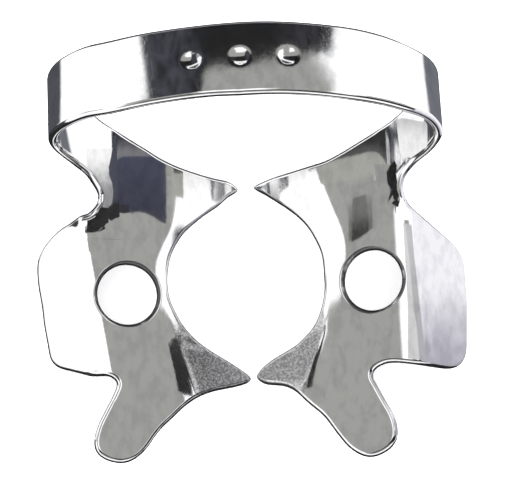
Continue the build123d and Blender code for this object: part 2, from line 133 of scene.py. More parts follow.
OUTLINE = {
    "left": {
        "distal": [
            (9.400, 10.930), (8.764, 10.535), (8.131, 10.135), (7.500, 9.731), (6.867, 9.332),
            (6.243, 8.919), (5.614, 8.512), (5.000, 8.084), (4.347, 7.718), (3.663, 7.415), (2.953, 7.178),
            (2.231, 6.980), (1.495, 6.842), (0.876, 6.687), (0.486, 6.271)],
        "opening": [
            (0.486, 6.271), (1.031, 5.809), (1.550, 5.317), (2.122, 4.887), (2.698, 4.461), (3.245, 4.000),
            (3.759, 3.503), (4.167, 2.916), (4.496, 2.282), (4.692, 1.594), (4.789, 0.885), (4.778, 0.170),
            (4.651, -0.533), (4.388, -1.198), (4.057, -1.832), (3.622, -2.399), (3.103, -2.891),
            (2.531, -3.321), (1.928, -3.707), (1.322, -4.087), (0.732, -4.491), (0.250, -5.018)],
        "outside": [
            (0.250, -5.018), (0.887, -5.393), (1.610, -5.564), (2.333, -5.730), (3.035, -5.973),
            (3.688, -6.325), (4.279, -6.775), (4.827, -7.276), (5.383, -7.769), (5.877, -8.321),
            (6.315, -8.921), (6.838, -9.447), (7.469, -9.806), (8.173, -9.844), (8.863, -9.597),
            (9.250, -9.239), (9.388, -8.807), (9.297, -8.118), (9.032, -7.425), (8.667, -6.778),
            (8.305, -6.129), (7.944, -5.509), (7.845, -5.219), (7.899, -5.020), (8.100, -4.872),
            (8.647, -4.710), (9.383, -4.610), (10.097, -4.408), (10.794, -4.152), (11.425, -3.841),
            (11.731, -3.450), (11.872, -2.760), (11.975, -2.024), (12.072, -1.287), (12.121, -0.546),
            (12.204, 0.191), (12.296, 0.928), (12.330, 1.670), (12.254, 2.408), (11.940, 3.019),
            (11.441, 3.569), (10.850, 4.013), (10.172, 4.314), (9.514, 4.545), (9.145, 4.566),
            (8.818, 4.785), (8.415, 5.299), (8.311, 5.589), (8.449, 5.909), (8.850, 6.517), (9.420, 6.990)],
    },
    "right": {
        "distal": [
            (9.800, 9.720), (9.198, 9.349), (8.556, 9.054), (7.929, 8.726), (7.297, 8.407), (6.663, 8.095),
            (6.030, 7.779), (5.384, 7.491), (4.723, 7.240), (4.030, 7.106), (3.331, 6.995), (2.632, 6.888),
            (1.931, 6.799), (1.237, 6.666), (0.583, 6.401)],
        "opening": [
            (0.583, 6.401), (1.099, 5.876), (1.664, 5.407), (2.225, 4.930), (2.768, 4.433), (3.263, 3.890),
            (3.676, 3.283), (3.988, 2.617), (4.237, 1.927), (4.329, 1.198), (4.341, 0.462),
            (4.324, -0.273), (4.199, -0.997), (3.974, -1.698), (3.624, -2.342), (3.117, -2.874),
            (2.537, -3.323), (1.873, -3.640), (1.208, -3.955), (0.592, -4.352), (0.163, -4.943)],
        "outside": [
            (0.163, -4.943), (0.539, -5.348), (1.172, -5.521), (1.876, -5.732), (2.448, -6.161),
            (2.938, -6.710), (3.465, -7.224), (3.969, -7.762), (4.367, -8.380), (4.771, -8.996),
            (5.217, -9.582), (5.789, -10.043), (6.393, -10.258), (7.046, -10.147), (7.662, -9.776),
            (7.971, -9.332), (8.035, -8.681), (7.874, -7.965), (7.558, -7.300), (7.237, -6.637),
            (6.923, -5.970), (6.786, -5.561), (6.855, -5.331), (7.087, -5.133), (7.595, -4.946),
            (8.326, -4.971), (9.052, -5.098), (9.782, -5.199), (10.516, -5.265), (11.251, -5.275),
            (11.731, -5.106), (12.098, -4.703), (12.298, -4.040), (12.358, -3.306), (12.405, -2.570),
            (12.451, -1.835), (12.490, -1.099), (12.479, -0.362), (12.464, 0.375), (12.421, 1.110),
            (12.143, 1.786), (11.636, 2.317), (11.059, 2.776), (10.483, 3.236), (9.912, 3.701),
            (9.387, 4.216), (9.085, 4.884), (9.056, 5.437), (9.278, 5.869), (9.830, 6.330)],
    },
}


def softplus(x, w):
    return 0.5 * (x + np.sqrt(x * x + w * w))


def sstep(t):
    t = np.clip(t, 0, 1)
    return t * t * t * (t * (6 * t - 15) + 10)


class Cubic:
    """natural cubic spline, straight beyond its ends"""

    def __init__(self, xs, ys):
        self.xs = xs = np.asarray(xs, float)
        ys = np.asarray(ys, float)
        n = len(xs)
        h = np.diff(xs)
        a = np.zeros((n, n))
        r = np.zeros(n)
        a[0, 0] = a[-1, -1] = 1
        for i in range(1, n - 1):
            a[i, i - 1], a[i, i], a[i, i + 1] = h[i - 1], 2 * (h[i - 1] + h[i]), h[i]
            r[i] = 3 * ((ys[i + 1] - ys[i]) / h[i] - (ys[i] - ys[i - 1]) / h[i - 1])
        c = np.linalg.solve(a, r)
        self.b = np.diff(ys) / h - h * (2 * c[:-1] + c[1:]) / 3
        self.c, self.d, self.y, self.n = c, np.diff(c) / (3 * h), ys, n
        t = h[-1]
        self.end = self.b[-1] + t * (2 * c[-2] + 3 * t * self.d[-1])

    def __call__(self, x):
        x = np.asarray(x, float)
        i = np.clip(np.searchsorted(self.xs, x) - 1, 0, self.n - 2)
        t = x - self.xs[i]
        v = self.y[i] + t * (self.b[i] + t * (self.c[i] + t * self.d[i]))
        v = np.where(x < self.xs[0], self.y[0] + (x - self.xs[0]) * self.b[0], v)
        return np.where(x > self.xs[-1], self.y[-1] + (x - self.xs[-1]) * self.end, v)


class Half:
    """one half of the clamp: the jaw, its neck and half of the bow, as one smooth map of
    (u, v): u runs along the sheet from the prongs to the top of the bow, v along y"""

    def __init__(self, side):
        self.side = side
        k = self.k = JAW[side]
        self.sg = k["sign"]
        p = np.array(BOW[side], float)
        q = p[::-1][1:].copy()
        q[:, 0] *= -1
        full = np.vstack([p, q])
        s = np.concatenate([[0.0], np.cumsum(np.hypot(*np.diff(full, axis=0).T))])
        self.fx, self.fz = Cubic(s, full[:, 0]), Cubic(s, full[:, 1])
        self.length = float(s[len(p) - 1])
        t = np.linspace(-6, self.length, 6000)
        x = self.fx(t)
        n = int(np.argmax(np.diff(x) < 0.004 * 0.3))
        self.ts, self.xs = t[:n], x[:n]
        self.x_top = float(x[n - 1])
        self.tilt = tan(radians(k["tilt"]))
        cy, cx = np.array(k["crease_at"], float).T[::-1]
        o = np.argsort(cy)
        self.crease = Cubic(cy[o], cx[o])
        ry, rx = np.array(k["roll_at"], float).T[::-1]
        o = np.argsort(ry)
        self.roll = Cubic(ry[o], rx[o])
        self.u_seam = float(np.interp(k["seam_x"], self.xs, self.ts))

    def s_of_x(self, x):
        s = np.interp(x, self.xs, self.ts)
        for _ in range(3):
            g = (self.fx(s + 1e-4) - self.fx(s - 1e-4)) / 2e-4
            s = s - (self.fx(s) - np.minimum(x, self.x_top)) / np.maximum(g, 0.2)
        return s

    def plate(self, x):
        return self.k["z0"] + (x - self.k["x0"]) * self.tilt

    def rise_share(self, x, y):
        k = self.k
        return sstep((y - k["rise_y"]) / (2.6 + 4.0 * sstep((x - 8.6) / 3.0)))

    def jaw_z(self, x, y):
        k = self.k
        share = self.rise_share(x, y)
        ridge = x - (k["ridge"] + k["ridge_slant"] * y)
        hinge = softplus(ridge, k["ridge_w"]) * (self.tilt + tan(radians(k["wing"])))
        hinge = hinge * (1 - k["tongue_flat"] * sstep((-4.35 - y) / 0.9))
        df = (self.crease(y) - x) * 0.95
        g = sstep((y - k["front_from"]) / 3.0)
        front = softplus(df, k["crease_w"]) * k["front_slope"] * (1 - g)
        u = 0.5 * ((k["rear_x"] - x) + np.sqrt((k["rear_x"] - x) ** 2 + 0.09))
        rear = k["rear_k"] * u * u * g
        # the plate rolls over towards the opening, and a narrow facet lies beside the front bend
        yy = np.clip(y, -2.0, 7.5)
        rear = rear + softplus(self.roll(yy) - x, 0.10) * k["roll_slope"] * sstep((y + 3.0) / 4.0)
        line = 4.98 + 0.243 * (np.clip(y, -6.5, -2.0) + 3.1)
        rear = rear + softplus(line - x, 0.06) * k["facet_slope"] * sstep((-1.9 - y) / 1.7)
        xx = np.minimum(x, 9.75)
        rise = self.fz(self.s_of_x(xx)) - self.plate(xx)
        rise = rise * sstep((x - 5.2) / 1.6)
        return self.plate(x) - hinge * (1 - share) + rise * share - front - rear

    def foot(self, z):
        return 7.35 + tan(radians(17.0)) * softplus(z - 4.6, 1.2)

    def turn(self, z):
        return radians(17.0) * sstep((z - 4.3) / 4.0)

    def point(self, u, v):
        """u along the profile (0 at x = 5.6), v the place across"""
        u = np.asarray(u, float)
        v = np.asarray(v, float)
        # the jaw: a height over (x, y)
        xj = np.where(u > self.u_seam, self.k["seam_x"] + (u - self.u_seam) * 0.8, self.fx(u))
        zj = self.jaw_z(xj, v)
        # the strip
        xs, zs = self.fx(u), self.fz(u)
        a = self.turn(zs)
        q = v - self.foot(zs)
        zj = zj - q * np.sin(a) * np.where(u > self.u_seam, 0.0, self.rise_share(xj, v))
        near = xs < 9.7
        near &= u < self.s_of_x(9.7) + 0.01
        diff = np.where(near, self.jaw_z(np.where(near, xs, 5.6), v) - zs, 0.0)
        diff *= 1 - sstep((u - self.u_seam) / 1.0)
        strip = (u > self.u_seam) & (v > self.k["split_v"])
        # the bow is slightly crowned across its width
        bulge = -CROWN * (q - 1.53) ** 2 * sstep((zs - 7.0) / 4.0)
        x = np.where(strip, xs, xj)
        y = np.where(strip, self.foot(zs) + q * np.cos(a) + bulge * np.sin(a), v)
        z = np.where(strip, zs - q * np.sin(a) + bulge * np.cos(a) + diff, zj)
        return np.stack([self.sg * x, y, z], -1)


LEFT, RIGHT = Half("left"), Half("right")


def both(w, v):
    """the whole sheet: w < 0 on the left half, w > 0 on the right, 0 at the top of the bow"""
    w, v = np.asarray(w, float), np.asarray(v, float)
    a = LEFT.point(LEFT.length + w, v)
    b = RIGHT.point(RIGHT.length - w, v)
    return np.where((w < 0)[..., None], a, b)


def frame_at(w, v):
    """point, unit normal (upper or outer side) and the two tangents"""
    h = 2e-3
    e = 1e-7
    # stay on one half: one-sided at the top is not needed, both meet smoothly there
    p = both(w, v)
    pw = (both(w + h, v) - both(w - h, v)) / (2 * h)
    pv = (both(w, v + h) - both(w, v - h)) / (2 * h)
    n = np.cross(pw, pv)
    n /= np.linalg.norm(n, axis=-1, keepdims=True)
    return p, n, pw, pv


# ------------------------------------------------------------------ outline in (w, v)
def spline_through(pts, step=0.04):
    pts = np.asarray(pts, float)
    s = np.concatenate([[0.0], np.cumsum(np.hypot(*np.diff(pts, axis=0).T))])
    fx, fy = Cubic(s, pts[:, 0]), Cubic(s, pts[:, 1])
    t = np.linspace(0, s[-1], max(3, int(round(s[-1] / step)) + 1))
    return np.stack([fx(t), fy(t)], 1)


def half_outline(half):
    """from the far edge at the top of the bow round the jaw to the near edge at the top"""
    k, side = half.k, half.side
    to_u = lambda P: np.stack([half.s_of_x_free(P[:, 0]), P[:, 1]], 1)
    distal = np.array(OUTLINE[side]["distal"])
    opening = np.array(OUTLINE[side]["opening"])
    outside = np.array(OUTLINE[side]["outside"])
    far_s = np.linspace(half.length, k["far_from"], 220)
    far = Cubic(*np.array(STRIP[side]["far"]).T)
    near = Cubic(*np.array(STRIP[side]["near"]).T)
    F = np.stack([far_s, far(far_s) + half.foot(half.fz(far_s))], 1)
    near_s = np.linspace(k["near_from"], half.length, 240)
    N = np.stack([near_s, near(near_s) + half.foot(half.fz(near_s))], 1)
    d = distal[distal[:, 0] < k["distal_x"]]
    last = len(outside) - 12 + int(np.argmin(outside[-12:, 0]))
    o = outside[:last + 1]
    loop = np.vstack([F[::6], to_u(d), to_u(opening[1:-1]), to_u(o), N[3::6]])
    if abs(loop[-1, 0] - half.length) > 1e-6:
        loop = np.vstack([loop, N[-1:]])
    return loop


def s_of_x_free(self, x):
    """u of a jaw point with that x, also beyond the seam and inside x = 5.6"""
    x = np.asarray(x, float)
    s = self.s_of_x(np.minimum(x, self.k["seam_x"]))
    return np.where(x > self.k["seam_x"], self.u_seam + (x - self.k["seam_x"]) / 0.8, s)


Half.s_of_x_free = s_of_x_free

lo_l = half_outline(LEFT)
lo_r = half_outline(RIGHT)
loop = np.vstack([np.stack([lo_l[:, 0] - LEFT.length, lo_l[:, 1]], 1),
                  np.stack([RIGHT.length - lo_r[::-1][1:-1, 0], lo_r[::-1][1:-1, 1]], 1)])


def dense_closed(P, step):
    """a smooth closed line through P, in even steps"""
    n = len(P)
    Q = np.vstack([P[-12:], P, P[:12]])
    s = np.concatenate([[0.0], np.cumsum(np.hypot(*np.diff(Q, axis=0).T))])
    fx, fy = Cubic(s, Q[:, 0]), Cubic(s, Q[:, 1])
    a, b = s[12], s[12 + n]
    t = np.linspace(a, b, int(round((b - a) / step)), endpoint=False)
    return np.stack([fx(t), fy(t)], 1)


def blur_closed(P, sigma, step):
    k = int(4 * sigma / step) + 1
    w = np.exp(-0.5 * (np.arange(-k, k + 1) * step / sigma) ** 2)
    w /= w.sum()
    Q = np.vstack([P[-k:], P, P[:k]])
    return np.stack([np.convolve(Q[:, 0], w, "valid"), np.convolve(Q[:, 1], w, "valid")], 1)


def close_step(P, spacing):
    """even steps along the line as it lies in space; spacing may be an array of one value a point"""
    X = both(P[:, 0], P[:, 1])
    d = np.linalg.norm(np.roll(X, -1, 0) - X, axis=1)
    if np.ndim(spacing) == 0:
        spacing = np.full(len(P), float(spacing))
    dens = d / (0.5 * (spacing + np.roll(spacing, -1)))
    c = np.concatenate([[0.0], np.cumsum(dens)])
    n = int(round(c[-1]))
    t = np.linspace(0, c[-1], n, endpoint=False)
    Q = np.vstack([P, P[:1]])
    return np.stack([np.interp(t, c, Q[:, 0]), np.interp(t, c, Q[:, 1])], 1)


def edge_facts(P, outward_sign):
    """for a closed line in (w, v): point, normal, outward direction in the sheet, and the step
    in (w, v) that goes 1 mm inwards; also the line's turn per mm, positive on an outward bulge"""
    p, n, pw, pv = frame_at(P[:, 0], P[:, 1])
    tan3 = np.roll(p, -1, 0) - np.roll(p, 1, 0)
    L = np.linalg.norm(tan3, axis=1, keepdims=True)
    tan3 /= L
    m = np.cross(tan3, n) * outward_sign
    m /= np.linalg.norm(m, axis=1, keepdims=True)
    # least squares: a*pw + b*pv = -m
    a11 = (pw * pw).sum(1); a12 = (pw * pv).sum(1); a22 = (pv * pv).sum(1)
    b1 = -(pw * m).sum(1); b2 = -(pv * m).sum(1)
    det = a11 * a22 - a12 * a12
    da = (b1 * a22 - b2 * a12) / det
    db = (b2 * a11 - b1 * a12) / det
    turn = np.einsum("ij,ij->i", (np.roll(tan3, -1, 0) - np.roll(tan3, 1, 0)), -m) / L[:, 0]
    return p, n, m, np.stack([da, db], 1), turn


# dense outline, lightly smoothed so that it has no corner sharper than a tumbled one
line = dense_closed(loop, 0.025)
line = blur_closed(line, 0.09, 0.025)
calm = blur_closed(line, 0.40, 0.025)
for half, w_seam in ((LEFT, LEFT.u_seam - LEFT.length), (RIGHT, RIGHT.length - RIGHT.u_seam)):
    pull = np.exp(-((line[:, 0] - w_seam) / 1.1) ** 2) * sstep((7.6 - line[:, 1]) / 0.8)
    line = line + (calm - line) * pull[:, None]
line = blur_closed(line, 0.06, 0.025)
outer = close_step(line, 0.105)


def signed_area(P):
    x, y = P[:, 0], P[:, 1]
    return 0.5 * float(np.sum(x * np.roll(y, -1) - np.roll(x, -1) * y))


def circle_line(half, cx, cy, r, n):
    k = half.k
    t = np.linspace(0, 2 * pi, n, endpoint=False)
    x = cx + r * np.cos(t) * cos(radians(k["tilt"]))
    y = cy + r * np.sin(t)
    u = half.s_of_x_free(x)
    w = u - LEFT.length if half is LEFT else RIGHT.length - u
    return np.stack([w, y], 1)


n_hole = 110
holes = [circle_line(LEFT, HOLE_X, HOLE_Y, HOLE_D / 2, n_hole),
         circle_line(RIGHT, HOLE_X, HOLE_Y, HOLE_D / 2, n_hole)]
lines = [outer] + holes

# which way is out
p0, n0, m0, d0, t0 = edge_facts(outer, 1.0)
LEVELS = 6
angles = np.linspace(0, pi / 2, LEVELS + 1)


def inside(P, poly):
    """even-odd test"""
    x, y = P[:, 0], P[:, 1]
    res = np.zeros(len(P), bool)
    X1, Y1 = poly[:, 0], poly[:, 1]
    X2, Y2 = np.roll(X1, -1), np.roll(Y1, -1)
    order = np.argsort(y)
    ys = y[order]
    for x1, y1, x2, y2 in zip(X1, Y1, X2, Y2):
        if y1 == y2:
            continue
        lo, hi = (y1, y2) if y1 < y2 else (y2, y1)
        i, j = np.searchsorted(ys, lo, "left"), np.searchsorted(ys, hi, "left")
        if i == j:
            continue
        idx = order[i:j]
        res[idx] ^= x[idx] < (x2 - x1) * (y[idx] - y1) / (y2 - y1) + x1
    return res


rings = []      # per line: (level, point) indices and facts
verts_wv = []
for li, P in enumerate(lines):
    p, n, m, dwv, turn = edge_facts(P, 1.0)
    probe = P + dwv * 0.05
    is_in = inside(probe, outer)
    if li:
        is_in &= ~inside(probe, P)
    if is_in.mean() < 0.5:
        m, dwv, turn = -m, -dwv, -turn
    # the rim's roundness, a little smaller where the outline itself turns sharply
    r = np.full(len(P), RIM_R)
    r = np.minimum(r, 0.72 / np.maximum(turn, 1e-3))
    r = np.maximum(r, 0.06)
    for _ in range(14):
        r = np.minimum(r, (np.roll(r, 1) + np.roll(r, -1) + 2 * r) / 4)
    rings.append(dict(P=P, p=p, n=n, m=m, dwv=dwv, r=r, turn=turn))

inner_loops = [R["P"] + R["dwv"] * R["r"][:, None] for R in rings]
GAP = 0.135

# points of the inner field, evenly spread as they lie in space
w_lo, v_lo = outer.min(0)
w_hi, v_hi = outer.max(0)
dx, dy = GAP, GAP * 0.8660254
gw = np.arange(w_lo, w_hi, dx)
gv = np.arange(v_lo, v_hi, dy)
G = np.stack(np.meshgrid(gw, gv, indexing="xy"), -1)
G[1::2, :, 0] += dx / 2
G = G.reshape(-1, 2)
keep = inside(G, inner_loops[0])
for h in inner_loops[1:]:
    keep &= ~inside(G, h)
G = G[keep]
# away from the inner loops, by a grid of buckets
allp = np.vstack(inner_loops)
cell = 0.2
bucket = {}
for i, (a, b) in enumerate(np.floor(allp / cell).astype(int)):
    bucket.setdefault((a, b), []).append(i)
near_to = np.ones(len(G), bool)
keys = np.floor(G / cell).astype(int)
for i, (a, b) in enumerate(keys):
    cand = [j for da in (-1, 0, 1) for db in (-1, 0, 1) for j in bucket.get((a + da, b + db), ())]
    if cand:
        d = allp[cand] - G[i]
        if (d * d).sum(1).min() < (0.62 * GAP) ** 2:
            near_to[i] = False
G = G[near_to]

pts = np.vstack([allp, G])
edges = []
base = 0
for L in inner_loops:
    n = len(L)
    edges += [(base + i, base + (i + 1) % n) for i in range(n)]
    base += n
out_v, out_e, out_f, ov, oe, of = delaunay_2d_cdt([Vector((float(a), float(b))) for a, b in pts], edges, [], 1, 1e-7, True)
same = len(out_v) == len(pts)
ids = [o[0] if len(o) else -1 for o in ov]
tri = np.array([[ids[i] for i in f] for f in out_f if len(f) == 3], int)
print("field", len(G), "rims", [len(L) for L in lines], "cdt same", same, "triangles", len(tri), "lost", int((tri < 0).any(1).sum()))
tri = tri[(tri >= 0).all(1)]
cen = pts[tri].mean(1)
ok = inside(cen, inner_loops[0])
for h in inner_loops[1:]:
    ok &= ~inside(cen, h)
tri = tri[ok]
a, b, c = pts[tri[:, 0]], pts[tri[:, 1]], pts[tri[:, 2]]
area = (b[:, 0] - a[:, 0]) * (c[:, 1] - a[:, 1]) - (c[:, 0] - a[:, 0]) * (b[:, 1] - a[:, 1])
tri[area < 0] = tri[area < 0][:, ::-1]

# ------------------------------------------------------------------ skins and rims
half_t = T / 2
P_in, N_in, PW, PV = frame_at(pts[:, 0], pts[:, 1])
n_in = len(pts)
hgt = np.full(n_in, half_t)
Nt = N_in.copy()
for dxm in MARK_X:
    half = RIGHT if dxm > 0 else LEFT
    tt = np.linspace(half.length / 2, half.length, 4000)
    s = float(np.interp(-abs(dxm), -half.fx(tt), tt))
    w = half.length - s
    w = w if dxm > 0 else -w
    vc = half.foot(float(half.fz(s))) + MARK_Q
    c = both(np.array([w]), np.array([vc]))[0]
    d = P_in - c
    rho = np.linalg.norm(d, axis=1)
    R = MARK_D / 2
    sel = rho < 2 * R
    t = rho[sel] / R
    q = 1 - t * t
    g = softplus(q, 0.22)
    edge0 = softplus(np.array([-3.0]), 0.22)[0]
    hgt[sel] -= MARK_DEPTH * (g - edge0)
    dg = 0.5 * (1 + q / np.sqrt(q * q + 0.22 ** 2)) * (-2 * t) / R
    dirn = d[sel] / np.maximum(rho[sel], 1e-6)[:, None]
    dirn -= (dirn * N_in[sel]).sum(1, keepdims=True) * N_in[sel]
    Nt[sel] += MARK_DEPTH * dg[:, None] * dirn
Nt /= np.linalg.norm(Nt, axis=1, keepdims=True)

co, no = [], []
co.append(P_in + N_in * hgt[:, None]); no.append(Nt)
co.append(P_in - N_in * half_t); no.append(-N_in)
faces = []
faces += [tuple(t) for t in tri]
faces += [(t[2] + n_in, t[1] + n_in, t[0] + n_in) for t in tri]
count = 2 * n_in
base = 0
for R in rings:
    n = len(R["P"])
    top_prev = [base + i for i in range(n)]
    bot_prev = [base + i + n_in for i in range(n)]
    base += n
    for lev in range(LEVELS - 1, 0, -1):
        th = angles[lev]
        q = R["P"] + R["dwv"] * (R["r"] * (1 - cos(th)))[:, None]
        p, nn, _, _ = frame_at(q[:, 0], q[:, 1])
        mm = R["m"] - (R["m"] * nn).sum(1, keepdims=True) * nn
        mm /= np.linalg.norm(mm, axis=1, keepdims=True)
        for s_, prev in ((1.0, top_prev), (-1.0, bot_prev)):
            co.append(p + nn * (s_ * half_t * sin(th)))
            nr = mm * (half_t * cos(th)) + nn * (s_ * sin(th) * R["r"])[:, None]
            no.append(nr / np.linalg.norm(nr, axis=1, keepdims=True))
            cur = [count + i for i in range(n)]
            count += n
            for i in range(n):
                j = (i + 1) % n
                faces.append((prev[i], prev[j], cur[j], cur[i]) if s_ > 0 else (prev[j], prev[i], cur[i], cur[j]))
            if s_ > 0:
                top_prev = cur
            else:
                bot_prev = cur
    co.append(R["p"]); no.append(R["m"])
    cur = [count + i for i in range(n)]
    count += n
    for i in range(n):
        j = (i + 1) % n
        faces.append((top_prev[i], top_prev[j], cur[j], cur[i]))
        faces.append((bot_prev[j], bot_prev[i], cur[i], cur[j]))
co = np.vstack(co)
no = np.vstack(no)
# faces of a rim may run the other way round: make each agree with its normals
F3 = np.array([f[:3] for f in faces])
fn = np.cross(co[F3[:, 1]] - co[F3[:, 0]], co[F3[:, 2]] - co[F3[:, 0]])
flip = (fn * (no[F3[:, 0]] + no[F3[:, 1]] + no[F3[:, 2]])).sum(1) < 0
faces = [f[::-1] if x else f for f, x in zip(faces, flip)]
print("verts", len(co), "faces", len(faces), "flipped", int(flip.sum()), "triangles", sum(len(f) - 2 for f in faces),
      "lowest", co[:, 2].min(), "box", co.min(0), co.max(0))
mesh = bpy.data.meshes.new("clamp_steel")
mesh.from_pydata([tuple(v) for v in world(co)], [], faces)
mesh.validate(clean_customdata=False)
mesh.update()
mesh.polygons.foreach_set("use_smooth", [True] * len(mesh.polygons))
if len(mesh.vertices) == len(co):
    mesh.normals_split_custom_set_from_vertices([tuple(v) for v in no])
clamp = bpy.data.objects.new("clamp_steel", mesh)
bpy.context.scene.collection.objects.link(clamp)
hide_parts("clamp")
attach(clamp, "root")

# ------------------------------------------------------------------ small node helper
class Graph:
    """builds math nodes in one tree"""

    def __init__(self, tree):
        self.t = tree

    def node(self, kind, **props):
        n = self.t.nodes.new(kind)
        for k, v in props.items():
            setattr(n, k, v)
        return n

    def put(self, sock, v):
        if isinstance(v, (int, float)):
            sock.default_value = v
        elif isinstance(v, tuple):
            sock.default_value = v
        else:
            self.t.links.new(v, sock)

    def math(self, op, a, b=0.0, c=None):
        n = self.node("ShaderNodeMath", operation=op)
        self.put(n.inputs[0], a)
        self.put(n.inputs[1], b)
        if c is not None:
            self.put(n.inputs[2], c)
        return n.outputs[0]

    def add(self, a, b):
        return self.math("ADD", a, b)

    def sub(self, a, b):
        return self.math("SUBTRACT", a, b)

    def mul(self, a, b):
        return self.math("MULTIPLY", a, b)

    def step(self, x, lo, hi):
        """0 below lo and 1 above hi, smooth between; lo may be above hi"""
        n = self.node("ShaderNodeMapRange", interpolation_type="SMOOTHSTEP")
        n.clamp = True
        flip = lo > hi
        self.put(n.inputs["Value"], x)
        n.inputs["From Min"].default_value = hi if flip else lo
        n.inputs["From Max"].default_value = lo if flip else hi
        n.inputs["To Min"].default_value = 1.0 if flip else 0.0
        n.inputs["To Max"].default_value = 0.0 if flip else 1.0
        return n.outputs["Result"]

    def band(self, x, lo, hi, soft):
        return self.mul(self.step(x, lo - soft, lo + soft), self.step(x, hi + soft, hi - soft))

    def mixf(self, f, a, b):
        n = self.node("ShaderNodeMix", data_type="FLOAT")
        self.put(n.inputs[0], f)
        self.put(n.inputs[2], a)
        self.put(n.inputs[3], b)
        return n.outputs[0]

    def mixc(self, f, a, b):
        n = self.node("ShaderNodeMix", data_type="RGBA")
        self.put(n.inputs[0], f)
        self.put(n.inputs[6], a if not isinstance(a, tuple) else (*a, 1))
        self.put(n.inputs[7], b if not isinstance(b, tuple) else (*b, 1))
        return n.outputs[2]


# ------------------------------------------------------------------ light
bpy.context.scene.view_settings.view_transform = "Standard"
wld = bpy.data.worlds.new("studio")
bpy.context.scene.world = wld
wld.use_nodes = True
wt = wld.node_tree
wt.nodes.clear()
g = Graph(wt)
tc = g.node("ShaderNodeTexCoord")
sep = g.node("ShaderNodeSeparateXYZ")
wt.links.new(tc.outputs["Generated"], sep.inputs[0])
X, Y, Z = sep.outputs
SOFT = 3.2
# what the steel mirrors: white walls, a grey ceiling with a soft light in it, a dark window
# high behind the bow, a dark bar in front, grey posts at the sides and a dark bench below
grey = (0.36, 0.36, 0.345)
white = (1.25, 1.25, 1.26)
wall = g.math("MAXIMUM", g.step(X, 0.48, 0.53), g.step(X, -0.645, -0.69))
wall = g.math("MAXIMUM", wall, g.step(Z, 0.62, 0.54))
room = g.mixc(wall, grey, white)
# soft light overhead
lamp = g.mul(g.band(X, -0.27, 0.20, 0.05), g.band(Y, -0.12, 0.50, 0.04))
room = g.mixc(g.mul(lamp, g.step(Z, 0.5, 0.6)), room, white)
# window: black with a dim blue side
noise = g.node("ShaderNodeTexNoise")
noise.inputs["Scale"].default_value = 30.0
noise.inputs["Detail"].default_value = 3.0
wt.links.new(tc.outputs["Generated"], noise.inputs["Vector"])
spots = noise.outputs[0]
x2 = g.mul(X, X)
edge = g.add(g.sub(0.717, g.mul(x2, 0.16)), g.mul(X, 0.04))
edge = g.sub(edge, g.mul(g.step(X, -0.20, -0.33), 0.30))
edge = g.add(edge, g.mul(g.sub(spots, 0.5), 0.03))
win = g.mul(g.band(X, -0.52, 0.49, 0.014), g.step(g.sub(Y, edge), -0.012, 0.012))
win = g.mul(win, g.step(Z, 0.36, 0.40))
dim = g.mul(g.step(X, -0.16, -0.36), g.step(spots, 0.30, 0.62))
glass = g.mixc(dim, (0.005, 0.005, 0.006), (0.060, 0.063, 0.080))
glass = g.mixc(g.mul(g.step(X, 0.15, 0.40), g.step(spots, 0.35, 0.65)), glass, (0.045, 0.045, 0.055))
room = g.mixc(win, room, glass)
# posts at the sides, with a dark near edge
post = g.mul(g.step(Y, 0.192, 0.204), g.step(Y, 0.46, 0.42))
post = g.mul(post, g.band(Z, 0.33, 0.86, 0.02))
blot = g.mixc(g.step(spots, 0.38, 0.60), (0.045, 0.045, 0.046), (0.17, 0.17, 0.168))
post_r = g.mul(post, g.step(X, 0.655, 0.69))
room = g.mixc(post_r, room, blot)
post_l = g.mul(post, g.step(X, -0.76, -0.80))
room = g.mixc(post_l, room, g.mixc(g.step(spots, 0.38, 0.62), (0.10, 0.10, 0.10), (0.25, 0.25, 0.245)))
# bar in front
bar = g.mul(g.band(Y, -0.50, -0.15, 0.02), g.step(Z, -0.05, 0.05))
bar = g.mul(bar, g.step(X, -0.60, -0.52))
nook = g.mul(g.step(X, 0.59, 0.63), g.mul(g.band(Y, -0.40, 0.100, 0.012), g.step(Z, 0.22, 0.28)))
nook = g.math("MAXIMUM", nook, g.mul(g.step(X, 0.22, 0.28), g.mul(g.band(Y, -0.62, -0.45, 0.02), g.step(Z, 0.25, 0.30))))
bar = g.math("MAXIMUM", bar, nook)
room = g.mixc(bar, room, (0.012, 0.012, 0.013))
# bench and the dark edges of the room
low = g.mul(g.step(Z, -0.20, -0.32), g.step(g.math("ABSOLUTE", X), 0.90, 0.85))
shade = g.mixc(g.step(Y, 0.12, 0.24), (0.025, 0.025, 0.028), g.mixc(g.step(X, -0.2, 0.2), (0.085, 0.085, 0.10), (0.17, 0.175, 0.20)))
room = g.mixc(low, room, shade)
room = g.mixc(g.mul(g.step(Y, -0.50, -0.54), g.step(Z, 0.16, 0.08)), room, (0.02, 0.02, 0.022))
room = g.mixc(g.mul(g.step(Y, 0.70, 0.76), g.step(Z, 0.34, 0.26)), room, (0.06, 0.06, 0.065))
room = g.mixc(g.mul(g.step(X, -0.72, -0.80), g.mul(g.step(Z, 0.20, 0.12), g.step(Y, 0.30, 0.24))), room, (0.05, 0.05, 0.055))
bg_soft = g.node("ShaderNodeBackground")
bg_soft.inputs["Color"].default_value = (1, 1, 1, 1)
bg_soft.inputs["Strength"].default_value = SOFT
bg_shine = g.node("ShaderNodeBackground")
wt.links.new(room, bg_shine.inputs["Color"])
bg_shine.inputs["Strength"].default_value = 1.0
lp = g.node("ShaderNodeLightPath")
mixs = g.node("ShaderNodeMixShader")
wt.links.new(lp.outputs["Is Glossy Ray"], mixs.inputs[0])
wt.links.new(bg_soft.outputs[0], mixs.inputs[1])
wt.links.new(bg_shine.outputs[0], mixs.inputs[2])
wo = g.node("ShaderNodeOutputWorld")
wt.links.new(mixs.outputs[0], wo.inputs[0])


